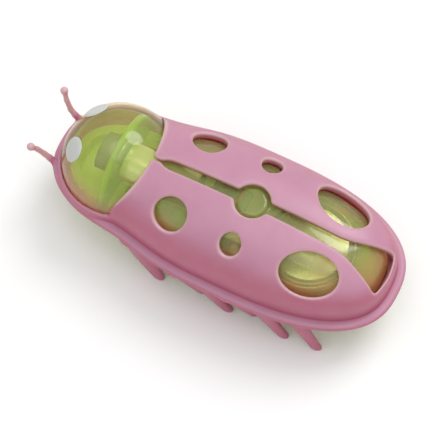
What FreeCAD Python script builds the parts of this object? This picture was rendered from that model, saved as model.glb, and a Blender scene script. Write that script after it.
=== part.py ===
import FreeCAD, Part
import math
import os
import re

# Vibration-driven robot bug. Frame: floor at z = 0, head towards -Y, back up, millimetres.

V = FreeCAD.Vector
doc = FreeCAD.newDocument("RobotBug")
sheet = doc.addObject("Spreadsheet::Sheet", "Sizes")

SIZES = {
    # outline of the rubber rim, seen from above
    "outline_half_width": 10.15,
    "outline_center_y": 4.2,
    "outline_front_reach": 26.35,
    "outline_tail_reach": 20.05,
    "outline_front_power": 2.6,
    "outline_tail_power": 2.3,
    "neck_depth": 0.7,
    "neck_center_y": -10.0,
    "neck_spread": 5.0,
    # heights: everything on the rim is measured from the deck
    "deck_z": 7.0,
    "bead_height": 1.1,
    "bead_round": 0.35,
    "rim_inset": 2.1,
    "dome_inset": 1.1,
    "dome_base": 1.0,
    "dome_rise": 7.8,
    "cover_wall": 1.0,
    "dome_side_power": 2.3,
    "dome_front_power": 2.2,
    "dome_tail_power": 3.4,
    "fit_gap": 0.05,
    # slanted front edge of the cover, as three points of an arc in side view
    "edge_low_y": -12.65,
    "edge_mid_y": -11.0,
    "edge_mid_z": 5.0,
    "edge_top_y": -8.6,
    "edge_top_z": 8.6,
    # low collar of the cover round the foot of the head
    "collar_height": 2.3,
    "collar_wall": 0.45,
    # openings of the cover
    "back_hole_y": 4.35,
    "back_hole_rad": 2.2,
    "slit_front_y": -9.4,
    "slit_narrow_y": -7.7,
    "slit_wide_y": -6.95,
    "slit_narrow_half": 0.15,
    "slit_half": 0.65,
    "slit_rear_half": 0.75,
    "slit_flare_y": 15.35,
    "slit_bend_y": 17.6,
    "slit_bend_half": 1.15,
    "flare_corner_y": 21.4,
    "flare_corner_half": 2.7,
    "flare_end_y": 22.3,
    "spot_front_x": 5.45,
    "spot_front_y": -4.05,
    "spot_front_long": 2.15,
    "spot_front_wide": 1.75,
    "spot_front_turn": 90,
    "spot_mid_x": 5.85,
    "spot_mid_y": 4.2,
    "spot_mid_long": 1.3,
    "spot_mid_wide": 1.2,
    "spot_mid_turn": 90,
    "spot_rear_x": 5.1,
    "spot_rear_y": 14.2,
    "spot_rear_long": 3.6,
    "spot_rear_wide": 2.3,
    "spot_rear_turn": 102,
    # antennae
    "antenna_root_x": 3.27,
    "antenna_root_y": -21.1,
    "antenna_root_z": 0.9,
    "antenna_bend_x": 3.4,
    "antenna_bend_y": -22.6,
    "antenna_bend_z": 2.4,
    "antenna_tip_x": 4.28,
    "antenna_tip_y": -23.75,
    "antenna_tip_z": 5.0,
    "antenna_rad": 0.35,
    "antenna_knob_rad": 0.5,
    # head dome and eyes
    "head_y": -13.8,
    "head_z": 9.2,
    "head_half_width": 7.3,
    "head_half_length": 7.3,
    "head_rise": 7.2,
    "eye_x": 3.0,
    "eye_y": -18.4,
    "eye_z": 13.6,
    "eye_long": 1.65,
    "eye_wide": 1.6,
    "eye_roll": 0.0,
    "eye_raise": 0.25,
    # housings
    "housing_wall": 0.8,
    "seam_z": 7.5,
    "seam_gap": 0.05,
    "tub_inset": 2.5,
    "belly_z": 4.4,
    "belly_bevel": 0.5,
    "locator_rad": 1.85,
    "locator_low_z": 14.0,
    "locator_top_z": 15.25,
    # legs
    "leg_top_z": 6.75,
    "leg_knee_z": 3.4,
    "leg_knee_share": 0.42,
    "leg_root_thick": 0.8,
    "leg_knee_thick": 0.62,
    "leg_tip_thick": 0.5,
    "leg_tip_long": 0.72,
    # motor
    "motor_z": 10.2,
    "can_rad": 2.8,
    "can_wall": 0.3,
    "can_front_y": -12.65,
    "can_back_y": -3.2,
    "bearing_rad": 0.8,
    "bearing_front_y": -13.3,
    "bearing_back_y": -6.6,
    "magnet_rad": 1.75,
    "magnet_front_y": -12.2,
    "coil_rad": 2.3,
    "coil_wall": 0.3,
    "coil_front_y": -12.0,
    "coil_back_y": -5.7,
    "coil_web": 0.5,
    "shaft_rad": 0.4,
    "shaft_front_y": -16.4,
    "shaft_back_y": -3.5,
    "running_gap": 0.03,
    "commutator_rad": 0.8,
    "commutator_back_y": -4.3,
    "end_cap_front_y": -4.0,
    "brush_offset": 0.83,
    "brush_thick": 0.16,
    "brush_height": 0.7,
    "brush_front_y": -5.4,
    "brush_back_y": -2.5,
    "swing_rad": 2.5,
    "swing_front_y": -16.1,
    "swing_back_y": -13.9,
    "swing_hub_rad": 1.1,
    "rib_front_y": -13.45,
    "rib_back_y": -12.75,
    "saddle_half": 3.0,
    "saddle_top_z": 8.6,
    "saddle_length": 1.0,
    "saddle_front_y": -11.6,
    "saddle_rear_y": -6.4,
    # cell and door
    "cell_y": 12.0,
    "cell_rad": 5.8,
    "cell_low_z": 5.4,
    "cell_height": 5.4,
    "cell_wall": 0.25,
    "cell_cap_rad": 4.9,
    "cell_rim_height": 4.9,
    "gasket_rad": 5.25,
    "pocket_rad": 5.95,
    "pocket_outer_rad": 6.4,
    "pocket_top_z": 9.2,
    "door_rad": 6.05,
    "door_gap": 0.1,
    "door_low_z": 4.45,
    "door_top_z": 5.3,
    "door_tab_half": 2.2,
    "door_tab_y": 2.6,
    "door_tab_top_z": 5.9,
    "door_screw_y": 4.2,
    "bridge_low_z": 6.0,
    "bridge_top_z": 7.2,
    "bridge_front_y": 2.9,
    "bridge_back_y": 5.5,
    "boss_rad": 1.5,
    "boss_top_z": 8.1,
    # screws
    "screw_rad": 0.6,
    "screw_head_rad": 1.1,
    "screw_head_height": 0.7,
    "screw_head_z": 4.55,
    "screw_slot": 0.25,
    "screw_slot_depth": 0.3,
    "counterbore_rad": 1.2,
    "door_screw_top_z": 7.9,
    "housing_screw_x": 5.4,
    "housing_screw_y": 4.6,
    "housing_screw_top_z": 10.6,
    "housing_boss_rad": 1.4,
    "housing_boss_top_z": 13.2,
    # switch and board
    "switch_half": 1.75,
    "switch_front_y": -4.2,
    "switch_length": 6.0,
    "switch_low_z": 5.25,
    "switch_top_z": 7.3,
    "switch_room_half": 1.2,
    "switch_room_front_y": -3.5,
    "switch_room_length": 4.6,
    "switch_room_top_z": 6.5,
    "knob_half": 0.7,
    "knob_y": -2.2,
    "knob_length": 1.6,
    "knob_low_z": 4.55,
    "slide_half": 1.05,
    "slide_length": 2.2,
    "slide_low_z": 5.4,
    "slide_top_z": 6.35,
    "knob_slot_half": 0.85,
    "knob_slot_front_y": -3.2,
    "knob_slot_length": 4.0,
    "board_half": 3.9,
    "board_front_y": -2.3,
    "board_length": 4.9,
    "board_low_z": 7.35,
    "board_thick": 0.8,
    "pin_rad": 0.25,
    "pin_first_y": -1.2,
    "pin_pitch": 1.3,
    "pin_top_z": 8.6,
    "post_x": 2.9,
    "post_y": 0.3,
    "post_size": 1.0,
    # contacts and leads
    "leaf_thick": 0.2,
    "leaf_lift": 0.02,
    "leaf_board_y": 1.9,
    "positive_half": 1.1,
    "positive_y": 5.9,
    "positive_low_z": 6.0,
    "negative_x": 1.6,
    "negative_wide": 1.4,
    "negative_y": 5.0,
    "negative_back_y": 15.0,
    "negative_gap": 0.05,
    "lead_rad": 0.3,
}

LEGS = {
    # number: root x, root y, tip x, tip y, tip z, half length of the root fore and aft
    1: (8.05, -7.4, 8.4, -4.35, 0.0, 1.75),
    2: (8.95, -1.6, 7.9, 1.45, 0.8, 1.25),
    3: (9.05, 2.2, 8.4, 5.25, 0.0, 1.25),
    4: (9.05, 5.4, 7.7, 8.45, 0.8, 1.2),
    5: (8.8, 9.9, 8.4, 12.95, 0.0, 1.3),
    6: (8.1, 14.2, 8.0, 17.25, 0.0, 1.2),
}
# points that each lead passes through on its way from the board to its brush
LEADS = {
    "red": ((-2.9, 1.6, 8.3), (-2.7, 1.9, 10.2), (0.0, 1.7, 11.5), (2.0, 0.2, 11.1), (1.3, -1.6, 10.4)),
    "black": ((-3.0, -0.9, 8.3), (-2.8, -1.0, 9.4), (-1.6, -1.5, 10.1)),
}
LEG_FIELDS = ("root_x", "root_y", "tip_x", "tip_y", "tip_z", "root_long")
for number, values in LEGS.items():
    for field, value in zip(LEG_FIELDS, values):
        SIZES[f"leg_{number}_{field}"] = value
for color, points in LEADS.items():
    for number, point in enumerate(points, start=1):
        for axis, value in zip("xyz", point):
            SIZES[f"{color}_lead_{number}_{axis}"] = value

for line, (alias, value) in enumerate(SIZES.items(), start=1):
    sheet.set(f"A{line}", alias)
    sheet.set(f"B{line}", str(value))
    sheet.setAlias(f"B{line}", alias)
doc.recompute()


def size(alias):
    """The sheet's value of one alias."""
    return float(sheet.get(alias))


def formula(words):
    """An expression in which each alias is read from the sheet."""
    return re.sub(r"[a-z]\w*", lambda word: "Sizes." + word.group(), words)


def set_base(obj, at):
    """Binds the three placement coordinates to formulas."""
    for axis, words in zip("xyz", at):
        obj.setExpression("Placement.Base." + axis, formula(str(words)))


ALONG_Y = FreeCAD.Rotation(V(1, 0, 0), -90)


def solid(kind, name, at, turn=None, **dimensions):
    """A Part primitive whose dimensions and position are bound to the sheet."""
    obj = doc.addObject("Part::" + kind, name)
    if turn is not None:
        obj.Placement = FreeCAD.Placement(V(), turn)
    for prop, words in dimensions.items():
        obj.setExpression(prop, formula(words))
    set_base(obj, at)
    return obj


def box(name, low, high):
    """A box between two corners, each given as three formulas."""
    spans = [f"({b}) - ({a})" for a, b in zip(low, high)]
    return solid("Box", name, low, Length=spans[0], Width=spans[1], Height=spans[2])


def post(name, x, y, low, high, radius):
    """An upright cylinder from one height to another."""
    return solid("Cylinder", name, (x, y, low), Radius=radius, Height=f"({high}) - ({low})")


def rod(name, front, back, radius):
    """A cylinder on the motor axis from one y to another."""
    length = f"({back}) - ({front})"
    return solid("Cylinder", name, (0, front, "motor_z"), ALONG_Y, Radius=radius, Height=length)


def fuse(name, shapes):
    obj = doc.addObject("Part::MultiFuse", name)
    obj.Shapes = shapes
    return obj


def cut(name, base, tools):
    """The base minus its tools."""
    obj = doc.addObject("Part::Cut", name)
    obj.Base = base
    obj.Tool = tools[0] if len(tools) == 1 else fuse(name + "_tools", tools)
    return obj


def common(name, base, tool):
    obj = doc.addObject("Part::Common", name)
    obj.Base = base
    obj.Tool = tool
    return obj


def free_shape(name, shape, z=0.0):
    """A feature for a free-form shape, built from the deck or the floor and then placed."""
    obj = doc.addObject("Part::Feature", name)
    obj.Shape = shape
    obj.Placement = FreeCAD.Placement(V(0, 0, z), FreeCAD.Rotation())
    return obj


# ---------------------------------------------------------------- the outline and the dome over it

OUTLINE_COUNT = 48
STEP_SMALL = 1e-4


def rim_point(angle):
    """A point of the rim outline. Angle 0 is the left flank and 90 degrees the tail."""
    across = math.cos(angle)
    along = math.sin(angle)
    tail = along >= 0
    power = size("outline_tail_power") if tail else size("outline_front_power")
    reach = size("outline_tail_reach") if tail else size("outline_front_reach")
    y = size("outline_center_y") + math.copysign(reach * abs(along) ** (2 / power), along)
    half = size("outline_half_width") * abs(across) ** (2 / power)
    dip = size("neck_depth") * math.exp(-(((y - size("neck_center_y")) / size("neck_spread")) ** 2))
    half -= dip * min(1.0, half / size("neck_spread"))
    return V(math.copysign(half, across), y, 0)


def outline(inset):
    """The rim outline moved inwards by an inset."""
    points = []
    for index in range(OUTLINE_COUNT):
        angle = 2 * math.pi * (index + 0.5) / OUTLINE_COUNT
        ahead = rim_point(angle + STEP_SMALL) - rim_point(angle - STEP_SMALL)
        inwards = V(-ahead.y, ahead.x, 0).normalize()
        points.append(rim_point(angle) + inwards * inset)
    return points


def chord_parameters(points):
    """Parameters that follow the length of a closed curve, so that every section is evenly paced."""
    total = [0.0]
    for start, end in zip(points, points[1:] + points[:1]):
        total.append(total[-1] + start.distanceToPoint(end))
    return total


PACE = chord_parameters(outline(0))


def ring(points):
    """A closed smooth wire through points."""
    curve = Part.BSplineCurve()
    curve.interpolate(Points=points, PeriodicFlag=True, Parameters=PACE)
    return Part.Wire([curve.toShape()])


def raised(points, z):
    return [V(point.x, point.y, z) for point in points]


def slab(inset, low, high):
    """An upright slab with the outline at an inset."""
    face = Part.Face(ring(raised(outline(inset), low)))
    return face.extrude(V(0, 0, high - low))


def dome_power(point):
    """How square the dome is towards one point of the outline."""
    tail = (point.y - size("outline_center_y")) / size("outline_tail_reach")
    front = (size("outline_center_y") - point.y) / size("outline_front_reach")
    side = size("dome_side_power")
    if tail > 0:
        return side + (size("dome_tail_power") - side) * min(tail, 1.0) ** 2
    return side + (size("dome_front_power") - side) * min(front, 1.0) ** 2


DOME_LEVELS = (0.0, 0.25, 0.5, 0.7, 0.84, 0.93, 0.975, 0.993, 0.999)


def dome(inset, rise, base):
    """A rounded dome over the outline, standing on the dome base and carried down to a lower level."""
    edge = outline(inset)
    center = V(0, size("outline_center_y"), 0)
    sections = []
    for level in DOME_LEVELS:
        z = size("dome_base") + rise * level
        points = []
        for point in edge:
            power = dome_power(point)
            share = (1 - level ** power) ** (1 / power)
            flat = center + (point - center) * share
            points.append(V(flat.x, flat.y, z))
        sections.append(ring(points))
    top = Part.makeLoft(sections, True, False)
    foot = slab(inset, base, size("dome_base"))
    return top.fuse(foot)


def deck_cutter(points, low, high):
    """A prism over a plan outline with straight sides."""
    corners = [V(x, y, low) for x, y in points]
    face = Part.Face(Part.makePolygon(corners + corners[:1]))
    return face.extrude(V(0, 0, high - low))


def front_cutter():
    """Everything in front of the cover's slanted front edge and above the collar."""
    wide = 2 * size("outline_half_width")
    low = V(-wide, size("edge_low_y"), size("collar_height"))
    mid = V(-wide, size("edge_mid_y"), size("edge_mid_z"))
    top = V(-wide, size("edge_top_y"), size("edge_top_z"))
    ahead = V(0, -wide, 0)
    sky = V(0, 0, size("dome_rise"))
    edges = [
        Part.Arc(low, mid, top).toShape(),
        Part.makeLine(top, top + sky),
        Part.makeLine(top + sky, top + sky + ahead),
        Part.makeLine(top + sky + ahead, low + ahead),
        Part.makeLine(low + ahead, low),
    ]
    return Part.Face(Part.Wire(edges)).extrude(V(2 * wide, 0, 0))


def slit_cutter():
    """The slit along the back with its flare at the tail."""
    side = [
        (size("slit_narrow_half"), size("slit_front_y")),
        (size("slit_narrow_half"), size("slit_narrow_y")),
        (size("slit_half"), size("slit_wide_y")),
        (size("slit_half"), size("back_hole_y")),
        (size("slit_rear_half"), size("back_hole_y") + size("back_hole_rad")),
        (size("slit_rear_half"), size("slit_flare_y")),
        (size("slit_bend_half"), size("slit_bend_y")),
        (size("flare_corner_half"), size("flare_corner_y")),
        (size("flare_corner_half") / 2, size("flare_end_y")),
    ]
    other = [(-x, y) for x, y in reversed(side)]
    return deck_cutter(side + other, size("dome_base") + size("cover_wall"), 2 * size("dome_rise"))


def bead():
    """The rounded rim bead, from the deck up."""
    round_off = size("bead_round")
    height = size("bead_height")
    levels = (
        (0.0, round_off),
        (0.3 * round_off, 0.3 * round_off),
        (round_off, 0.0),
        (height - round_off, 0.0),
        (height - 0.3 * round_off, 0.3 * round_off),
        (height, round_off),
    )
    rings = [ring(raised(outline(inset), z)) for z, inset in levels]
    return Part.makeLoft(rings, True, True)


def antenna(side):
    """A slim bent stem with a round knob."""
    root = V(side * size("antenna_root_x"), size("antenna_root_y"), size("antenna_root_z"))
    bend = V(side * size("antenna_bend_x"), size("antenna_bend_y"), size("antenna_bend_z"))
    tip = V(side * size("antenna_tip_x"), size("antenna_tip_y"), size("antenna_tip_z"))
    path = Part.Arc(root, bend, tip)
    start = path.tangent(path.FirstParameter)[0]
    section = Part.Wire([Part.Circle(root, start, size("antenna_rad")).toShape()])
    stem = Part.Wire([path.toShape()]).makePipeShell([section], True, False)
    return stem.fuse(Part.makeSphere(size("antenna_knob_rad"), tip))


deck = size("deck_z")
gap = size("fit_gap")
inner_rise = size("dome_rise") - size("cover_wall")
below = -1.0


def oval_cutter(center, long, wide, turn, height):
    """An upright elliptic prism."""
    face = Part.Face(Part.Wire([Part.Ellipse(V(), long, wide).toShape()]))
    face.Placement = FreeCAD.Placement(center, FreeCAD.Rotation(V(0, 0, 1), turn))
    return face.extrude(V(0, 0, height))


def head_solids(grow):
    """The head dome and its straight foot down to the seam, grown by an amount, measured from the deck."""
    width = size("head_half_width") + grow
    length = size("head_half_length") + grow
    scale = FreeCAD.Matrix()
    scale.scale(width, length, size("head_rise") + grow)
    center = V(0, size("head_y"), size("head_z") - deck)
    ball = Part.makeSphere(1.0, V(), V(0, 0, 1), 0, 90, 360).transformGeometry(scale)
    ball.translate(center)
    foot_height = size("head_z") - size("seam_z") + max(grow, 0)
    foot = oval_cutter(center - V(0, 0, foot_height), length, width, 90, foot_height)
    return [ball, foot]


def spot_cutters():
    """The round hole of the back and the oval spots on both flanks."""
    low = size("dome_base") + size("cover_wall")
    height = size("dome_rise")
    cutters = [Part.makeCylinder(size("back_hole_rad"), height, V(0, size("back_hole_y"), low))]
    for place in ("front", "mid", "rear"):
        for side in (1, -1):
            center = V(side * size(f"spot_{place}_x"), size(f"spot_{place}_y"), low)
            turn = size(f"spot_{place}_turn")
            turn = turn if side > 0 else 180 - turn
            long = size(f"spot_{place}_long")
            wide = size(f"spot_{place}_wide")
            cutters.append(oval_cutter(center, long, wide, turn, height))
    return cutters


def cut_in_turn(shape, cutters):
    for cutter in cutters:
        shape = shape.cut(cutter)
    return shape


def cover():
    """The rubber cover with rim bead, head collar and antennae, measured from the deck."""
    room = dome(size("rim_inset"), inner_rise, below)
    width = size("head_half_width") + size("collar_wall")
    length = size("head_half_length") + size("collar_wall")
    collar = oval_cutter(V(0, size("head_y"), 0), length, width, 90, size("collar_height"))
    top = dome(size("dome_inset"), size("dome_rise"), 0.0).cut(front_cutter()).fuse(collar)
    top = cut_in_turn(top, [room, slit_cutter()] + spot_cutters() + head_solids(gap))
    mid_wall = (size("rim_inset") + size("dome_inset")) / 2
    rim_room = slab(mid_wall, below, 2 * size("bead_height"))
    rim = cut_in_turn(bead(), [rim_room] + head_solids(gap))
    return top.fuse(rim).fuse([antenna(1), antenna(-1)])


def upper_shell():
    """The translucent shell with head dome, motor rib, bosses and locator, measured from the deck."""
    wall = size("housing_wall")
    low = size("seam_z") - deck
    body = dome(size("rim_inset") + gap, inner_rise - gap, low)
    ball, foot = head_solids(0.0)
    rooms = [dome(size("rim_inset") + gap + wall, inner_rise - gap - wall, below)] + head_solids(-wall)
    shell = cut_in_turn(body, rooms).fuse(cut_in_turn(ball.fuse(foot), rooms))
    whole = body.fuse(ball).fuse(foot)
    wide = size("outline_half_width")
    rib_length = size("rib_back_y") - size("rib_front_y")
    inside = [Part.makeBox(2 * wide, rib_length, 2 * wide, V(-wide, size("rib_front_y"), low))]
    boss_height = size("housing_boss_top_z") - size("seam_z")
    hole_height = size("housing_screw_top_z") - size("seam_z") + 2 * gap
    rib_hole_start = V(0, size("rib_front_y") - gap, size("motor_z") - deck)
    holes = [Part.makeCylinder(size("bearing_rad"), rib_length + 2 * gap, rib_hole_start, V(0, 1, 0))]
    for side in (1, -1):
        foot_of_boss = V(side * size("housing_screw_x"), size("housing_screw_y"), low)
        inside.append(Part.makeCylinder(size("housing_boss_rad"), boss_height, foot_of_boss))
        holes.append(Part.makeCylinder(size("screw_rad"), hole_height, foot_of_boss - V(0, 0, gap)))
    for block in inside:
        shell = shell.fuse(block.common(whole))
    locator_foot = V(0, size("back_hole_y"), size("locator_low_z") - deck)
    locator_height = size("locator_top_z") - size("locator_low_z")
    locator = Part.makeCylinder(size("locator_rad"), locator_height, locator_foot)
    return cut_in_turn(shell.fuse(locator), holes)


tub_outer = slab(size("tub_inset"), size("belly_z") - deck, 0.0)
belly_edges = [edge for edge in tub_outer.Edges if edge.BoundBox.ZMax < size("belly_z") - deck + gap]
tub_outer = tub_outer.makeChamfer(size("belly_bevel"), belly_edges)
flange_top = size("seam_z") - size("seam_gap") - deck
tub_flange = slab(size("rim_inset") + gap, -gap, flange_top)
tub_skin = free_shape("tub_skin", tub_outer.fuse(tub_flange), deck)
tub_floor = size("belly_z") + size("housing_wall") - deck
tub_room = free_shape("tub_room", slab(size("tub_inset") + size("housing_wall"), tub_floor, 1.0), deck)


# ---------------------------------------------------------------- finished sub-parts


def oval_prism(name, long, wide, look, roll, at, length):
    """An elliptic prism that points along a direction, with its long side rolled about it."""
    turn = FreeCAD.Rotation(V(0, 0, 1), look).multiply(roll)
    edge = doc.addObject("Part::Ellipse", name + "_edge")
    edge.Placement = FreeCAD.Placement(V(), turn)
    edge.setExpression("MajorRadius", formula(long))
    edge.setExpression("MinorRadius", formula(wide))
    set_base(edge, at)
    prism = doc.addObject("Part::Extrusion", name)
    prism.Base = edge
    prism.DirMode = "Custom"
    prism.Dir = look
    prism.Solid = True
    prism.setExpression("LengthFwd", formula(length))
    return prism


nodes = []


def keep(node, obj):
    """Registers a finished sub-part under its node name, which is also its Label."""
    obj.Label = node
    nodes.append(obj)


# ---------------------------------------------------------------- rubber cover

keep("rubber_cover", free_shape("cover", cover(), deck))

# ---------------------------------------------------------------- upper housing

keep("upper_housing", free_shape("housing", upper_shell(), deck))

# ---------------------------------------------------------------- eye patches

for side, tag in ((1, "left"), (-1, "right")):
    outer = solid(
        "Ellipsoid",
        f"eye_outer_{tag}",
        (0, "head_y", "head_z"),
        Radius1="head_rise + eye_raise",
        Radius2="head_half_width + eye_raise",
        Radius3="head_half_length + eye_raise",
    )
    inner = solid(
        "Ellipsoid",
        f"eye_inner_{tag}",
        (0, "head_y", "head_z"),
        Radius1="head_rise",
        Radius2="head_half_width",
        Radius3="head_half_length",
    )
    look = V(side * size("eye_x"), size("eye_y") - size("head_y"), size("eye_z") - size("head_z"))
    roll = FreeCAD.Rotation(V(0, 0, 1), side * size("eye_roll"))
    center = (0, "head_y", "head_z")
    eye_prism = oval_prism(f"eye_prism_{tag}", "eye_long", "eye_wide", look, roll, center, "2 * head_rise")
    keep(f"eye_{tag}", common(f"eye_patch_{tag}", cut(f"eye_shell_{tag}", outer, [inner]), eye_prism))

# ---------------------------------------------------------------- legs


def leg_section(name, long, thick, at):
    edge = doc.addObject("Part::Ellipse", name)
    edge.Placement = FreeCAD.Placement(V(), FreeCAD.Rotation(V(0, 0, 1), 90))
    edge.setExpression("MajorRadius", formula(long))
    edge.setExpression("MinorRadius", formula(thick))
    set_base(edge, at)
    return edge


def leg(side, tag, number):
    """A swept-back tapering leg lofted through three oval sections."""
    own = f"leg_{number}_"
    share = "leg_knee_share"
    knee_x = f"{side} * ({own}root_x + {share} * ({own}tip_x - {own}root_x))"
    knee_y = f"{own}root_y + {share} * ({own}tip_y - {own}root_y)"
    knee_long = f"({own}root_long + leg_tip_long) / 2"
    name = f"leg_{tag}_{number}"
    root_at = (f"{side} * {own}root_x", own + "root_y", "leg_top_z")
    tip_at = (f"{side} * {own}tip_x", own + "tip_y", own + "tip_z")
    loft = doc.addObject("Part::Loft", name + "_loft")
    loft.Sections = [
        leg_section(name + "_root", own + "root_long", "leg_root_thick", root_at),
        leg_section(name + "_knee", knee_long, "leg_knee_thick", (knee_x, knee_y, "leg_knee_z")),
        leg_section(name + "_tip", "leg_tip_long", "leg_tip_thick", tip_at),
    ]
    loft.Solid = True
    keep(name, loft)


for side, tag in ((1, "left"), (-1, "right")):
    for number in LEGS:
        leg(side, tag, number)

# ---------------------------------------------------------------- motor

can_room = rod("can_room", "can_front_y + can_wall", "can_back_y + fit_gap", "can_rad - can_wall")
can_hole = rod("can_hole", "can_front_y - fit_gap", "can_front_y + 2 * can_wall", "bearing_rad")
keep("motor_can", cut("can", rod("can_skin", "can_front_y", "can_back_y", "can_rad"), [can_room, can_hole]))

shaft_way = "shaft_rad + running_gap"
bearing_bore = rod("bearing_bore", "bearing_front_y - fit_gap", "bearing_back_y + fit_gap", shaft_way)
bearing_tube = rod("bearing_tube", "bearing_front_y", "bearing_back_y", "bearing_rad")
keep("motor_bearing", cut("bearing", bearing_tube, [bearing_bore]))

magnet_bore = rod("magnet_bore", "magnet_front_y - fit_gap", "bearing_back_y + fit_gap", "bearing_rad")
magnet_rod = rod("magnet_rod", "magnet_front_y", "bearing_back_y", "magnet_rad")
keep("motor_magnet", cut("magnet", magnet_rod, [magnet_bore]))

coil_room = rod("coil_room", "coil_front_y - fit_gap", "coil_back_y - coil_web", "coil_rad - coil_wall")
coil_bore = rod("coil_bore", "coil_front_y", "coil_back_y + fit_gap", "shaft_rad")
coil_skin = rod("coil_skin", "coil_front_y", "coil_back_y", "coil_rad")
keep("rotor_coil", cut("coil", coil_skin, [coil_room, coil_bore]))

commutator_bore = rod("commutator_bore", "coil_back_y - fit_gap", "commutator_back_y + fit_gap", "shaft_rad")
commutator_rod = rod("commutator_rod", "coil_back_y", "commutator_back_y", "commutator_rad")
keep("rotor_commutator", cut("commutator", commutator_rod, [commutator_bore]))

keep("rotor_shaft", rod("shaft", "shaft_front_y", "shaft_back_y", "shaft_rad"))

brushes = []
brush_slots = []
for side, tag in ((1, "left"), (-1, "right")):
    near = "brush_offset" if side > 0 else "-brush_offset - brush_thick"
    far = "brush_offset + brush_thick" if side > 0 else "-brush_offset"
    low = "motor_z - brush_height / 2"
    high = "motor_z + brush_height / 2"
    brushes.append(box(f"brush_{tag}", (near, "brush_front_y", low), (far, "brush_back_y", high)))
    brush_slots.append(
        box(f"slot_{tag}", (near, "end_cap_front_y - fit_gap", low), (far, "can_back_y + fit_gap", high))
    )
end_cap_rod = rod("end_cap_rod", "end_cap_front_y", "can_back_y", "can_rad - can_wall")
end_cap_bore = rod("end_cap_bore", "end_cap_front_y - fit_gap", "shaft_back_y + fit_gap", shaft_way)
keep("motor_end_cap", cut("end_cap", end_cap_rod, [end_cap_bore] + brush_slots))
keep("motor_brushes", fuse("brush_pair", brushes))

swing_rod = rod("swing_rod", "swing_front_y", "swing_back_y", "swing_rad")
swing_half = box(
    "swing_half",
    ("-swing_rad", "swing_front_y", "motor_z"),
    ("swing_rad", "swing_back_y", "motor_z + swing_rad"),
)
swing_hub = rod("swing_hub", "swing_front_y", "swing_back_y", "swing_hub_rad")
swing_bore = rod("swing_bore", "swing_front_y - fit_gap", "swing_back_y + fit_gap", "shaft_rad")
swing_whole = fuse("swing_whole", [common("swing_top", swing_rod, swing_half), swing_hub])
keep("eccentric_weight", cut("swing", swing_whole, [swing_bore]))

# ---------------------------------------------------------------- lower housing

saddles = []
for tag in ("front", "rear"):
    start = f"saddle_{tag}_y"
    saddles.append(
        box(
            f"saddle_{tag}",
            ("-saddle_half", start, "belly_z + housing_wall"),
            ("saddle_half", f"{start} + saddle_length", "saddle_top_z"),
        )
    )
bridge = box(
    "bridge",
    ("-outline_half_width + tub_inset + housing_wall / 2", "bridge_front_y", "bridge_low_z"),
    ("outline_half_width - tub_inset - housing_wall / 2", "bridge_back_y", "bridge_top_z"),
)
door_boss = post("door_boss", 0, "door_screw_y", "bridge_low_z", "boss_top_z", "boss_rad")
tub_bosses = []
counterbores = []
board_posts = []
for side, tag in ((1, "left"), (-1, "right")):
    x = f"{side} * housing_screw_x"
    top = "seam_z - seam_gap"
    tub_bosses.append(post(f"tub_boss_{tag}", x, "housing_screw_y", "belly_z", top, "housing_boss_rad"))
    counterbores.append(
        post(
            f"counterbore_{tag}",
            x,
            "housing_screw_y",
            "belly_z - fit_gap",
            "screw_head_z + screw_head_height",
            "counterbore_rad",
        )
    )
    post_low = "post_x" if side > 0 else "-post_x - post_size"
    post_high = "post_x + post_size" if side > 0 else "-post_x"
    board_posts.append(
        box(
            f"board_post_{tag}",
            (post_low, "post_y", "belly_z + housing_wall"),
            (post_high, "post_y + post_size", "board_low_z"),
        )
    )
pocket = cut(
    "pocket",
    post("pocket_skin", 0, "cell_y", "belly_z", "pocket_top_z", "pocket_outer_rad"),
    [post("pocket_room", 0, "cell_y", "belly_z - fit_gap", "pocket_top_z + fit_gap", "pocket_rad")],
)
leaf_notch = box(
    "leaf_notch",
    ("-positive_half - housing_wall / 2", "cell_y - pocket_outer_rad - fit_gap", "positive_low_z - fit_gap"),
    ("positive_half + housing_wall / 2", "cell_y - pocket_rad + housing_wall / 2", "pocket_top_z + fit_gap"),
)
under_belly = "belly_z - fit_gap"
door_hole = post("door_hole", 0, "cell_y", under_belly, "door_top_z + door_gap", "door_rad + door_gap")
cell_way = post("cell_way", 0, "cell_y", "belly_z - fit_gap", "pocket_top_z + fit_gap", "pocket_rad")
tab_hole = box(
    "tab_hole",
    ("-door_tab_half - door_gap", "door_tab_y - door_gap", "belly_z - fit_gap"),
    ("door_tab_half + door_gap", "cell_y", "door_tab_top_z + fit_gap"),
)
knob_slot = box(
    "knob_slot",
    ("-knob_slot_half", "knob_slot_front_y", "belly_z - fit_gap"),
    ("knob_slot_half", "knob_slot_front_y + knob_slot_length", "switch_low_z"),
)
can_seat = rod("can_seat", "can_front_y", "can_back_y", "can_rad")
screw_way_rad = "screw_rad + fit_gap"
door_screw_way = post("door_screw_way", 0, "door_screw_y", "belly_z", "boss_top_z + fit_gap", screw_way_rad)
tub_shell = cut("tub_shell", tub_skin, [tub_room])
tub_filled = fuse("tub_filled", [tub_shell, bridge, door_boss, pocket] + saddles + tub_bosses + board_posts)
tub_screw_ways = [
    post(f"tub_way_{tag}", f"{side} * housing_screw_x", "housing_screw_y", "belly_z", "seam_z", "screw_rad")
    for side, tag in ((1, "left"), (-1, "right"))
]
tub_tools = [leaf_notch, door_hole, cell_way, tab_hole, knob_slot, can_seat, door_screw_way]
keep("lower_housing", cut("tub", tub_filled, tub_tools + counterbores + tub_screw_ways))

# ---------------------------------------------------------------- screws


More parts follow.
